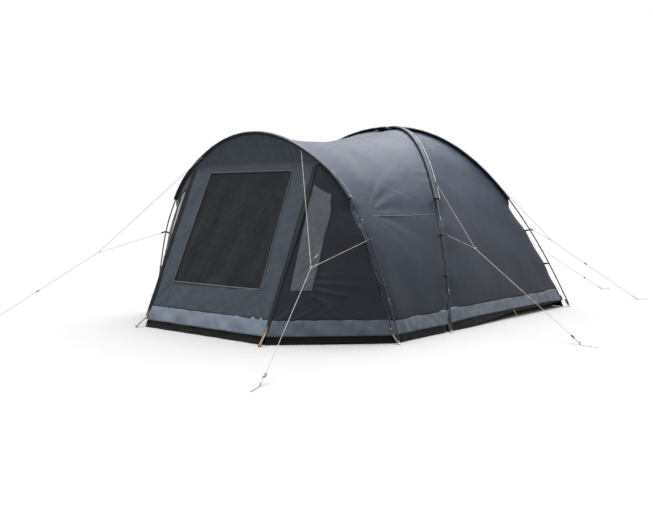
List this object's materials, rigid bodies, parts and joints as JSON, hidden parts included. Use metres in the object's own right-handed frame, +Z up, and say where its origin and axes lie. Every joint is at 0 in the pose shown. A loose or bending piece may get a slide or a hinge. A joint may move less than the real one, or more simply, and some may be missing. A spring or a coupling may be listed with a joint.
{
  "type": "dome tent on poles",
  "caption": "Dome camping tent with crossing poles, an arched porch with mesh window, side windows, guylines and an inner bedroom.",
  "frame": {"origin": "on the ground in the middle of the tent, without its guylines", "axes": "+Z up, +Y from the front door towards the rear, +X to the right-hand side seen from the front"},
  "size_m": [5.8156, 7.4239, 2.0143],
  "materials": {
    "pole": "black lacquered fibreglass",
    "sleeve": "charcoal polyester",
    "fly": "slate coated polyester, slightly satin",
    "fly_dark": "dark slate coated polyester",
    "mesh": "black insect mesh",
    "hem": "lighter grey-blue polyester",
    "mud_flap": "black coated polyester",
    "window_film": "clear flexible film",
    "zip": "black coil zip",
    "zip_metal": "black enamelled",
    "steel": "zinc plated",
    "webbing": "tan woven webbing",
    "tab": "black woven webbing",
    "black_plastic": "moulded",
    "groundsheet": "black coated groundsheet",
    "inner_cloth": "light grey breathable polyester",
    "guyline": "pale braided polyester with orange flecks"
  },
  "bodies": {
    "tent": {"crown_patch": "sleeve", "dome_pole_a": "pole", "dome_pole_b": "pole", "dome_rear": "fly", "dome_side_left": "fly", "dome_side_right": "fly", "dome_sleeve_a": "sleeve", "dome_sleeve_b": "sleeve", "door_zip_tracks": "zip", "foot_pins": "steel", "foot_rings": "steel", "foot_straps": "webbing", "front_gable": "fly", "front_hoop_pole": "pole", "front_hoop_sleeve": "sleeve", "front_side_left": "fly_dark", "front_side_right": "fly_dark", "groundsheet": "groundsheet", "guy_branch_front_left": "guyline", "guy_branch_front_right": "guyline", "guy_branch_middle_left": "guyline", "guy_branch_middle_right": "guyline", "guy_branch_rear_left": "guyline", "guy_branch_rear_right": "guyline", "guy_front_left": "guyline", "guy_front_right": "guyline", "guy_middle_left": "guyline", "guy_middle_right": "guyline", "guy_pegs": "steel", "guy_rear_left": "guyline", "guy_rear_right": "guyline", "guy_rings": "steel", "guy_tabs": "tab", "guy_wall_left": "guyline", "guy_wall_right": "guyline", "hem_bands": "hem", "inner_tent_walls": "inner_cloth", "mud_flaps": "mud_flap", "pole_clips": "black_plastic", "porch_roof": "fly", "porch_wall_left": "fly", "porch_wall_right": "fly", "side_window_left": "window_film", "side_window_right": "window_film", "strap_buckles": "black_plastic"},
    "front_door": {"door_panel": "fly", "door_mesh": "mesh", "door_hem_band": "hem", "door_mud_flap": "mud_flap"},
    "inner_door": {"inner_door": "inner_cloth"},
    "zip_slider_right": {"zip_slider_right": "zip_metal"},
    "zip_slider_left": {"zip_slider_left": "zip_metal"},
    "runner_front_left": {"runner_front_left": "black_plastic"},
    "runner_front_right": {"runner_front_right": "black_plastic"},
    "runner_middle_left": {"runner_middle_left": "black_plastic"},
    "runner_middle_right": {"runner_middle_right": "black_plastic"},
    "runner_rear_left": {"runner_rear_left": "black_plastic"},
    "runner_rear_right": {"runner_rear_right": "black_plastic"},
    "runner_wall_left": {"runner_wall_left": "black_plastic"},
    "runner_wall_right": {"runner_wall_right": "black_plastic"}
  },
  "joints": [
    {"name": "front_door_lift", "type": "hinge", "parent": "tent", "child": "front_door", "pos_m": [0, -1.3595, 1.515], "axis": [-1, 0, 0], "range_deg": [0, 42]},
    {"name": "inner_door_swing", "type": "hinge", "parent": "tent", "child": "inner_door", "pos_m": [-0.446, -0.2955, 0.098], "axis": [0, -0.4056, -0.9141], "range_deg": [0, 100]},
    {"name": "zip_slider_right_slide", "type": "slide", "parent": "tent", "child": "zip_slider_right", "axis": [0, 0.4009, 0.9161], "range_m": [0, 1.4]},
    {"name": "zip_slider_left_slide", "type": "slide", "parent": "tent", "child": "zip_slider_left", "axis": [0, 0.4009, 0.9161], "range_m": [0, 1.4]},
    {"name": "runner_front_right_slide", "type": "slide", "parent": "tent", "child": "runner_front_right", "axis": [-0.3551, 0.7766, 0.5203], "range_m": [0, 0.45]},
    {"name": "runner_middle_right_slide", "type": "slide", "parent": "tent", "child": "runner_middle_right", "axis": [-0.8269, 0.1457, 0.5431], "range_m": [0, 0.45]},
    {"name": "runner_rear_right_slide", "type": "slide", "parent": "tent", "child": "runner_rear_right", "axis": [-0.3637, -0.7928, 0.4891], "range_m": [-0.3, 0.2]},
    {"name": "runner_wall_right_slide", "type": "slide", "parent": "tent", "child": "runner_wall_right", "axis": [-0.2378, -0.8698, 0.4323], "range_m": [-0.2, 0.45]},
    {"name": "runner_front_left_slide", "type": "slide", "parent": "tent", "child": "runner_front_left", "axis": [0.4675, 0.7014, 0.538], "range_m": [-0.25, 0.3]},
    {"name": "runner_middle_left_slide", "type": "slide", "parent": "tent", "child": "runner_middle_left", "axis": [0.8253, 0.1544, 0.5431], "range_m": [0, 0.45]},
    {"name": "runner_rear_left_slide", "type": "slide", "parent": "tent", "child": "runner_rear_left", "axis": [0.371, -0.7894, 0.4891], "range_m": [-0.3, 0.2]},
    {"name": "runner_wall_left_slide", "type": "slide", "parent": "tent", "child": "runner_wall_left", "axis": [0.2416, -0.8688, 0.4323], "range_m": [-0.2, 0.45]}
  ]
}
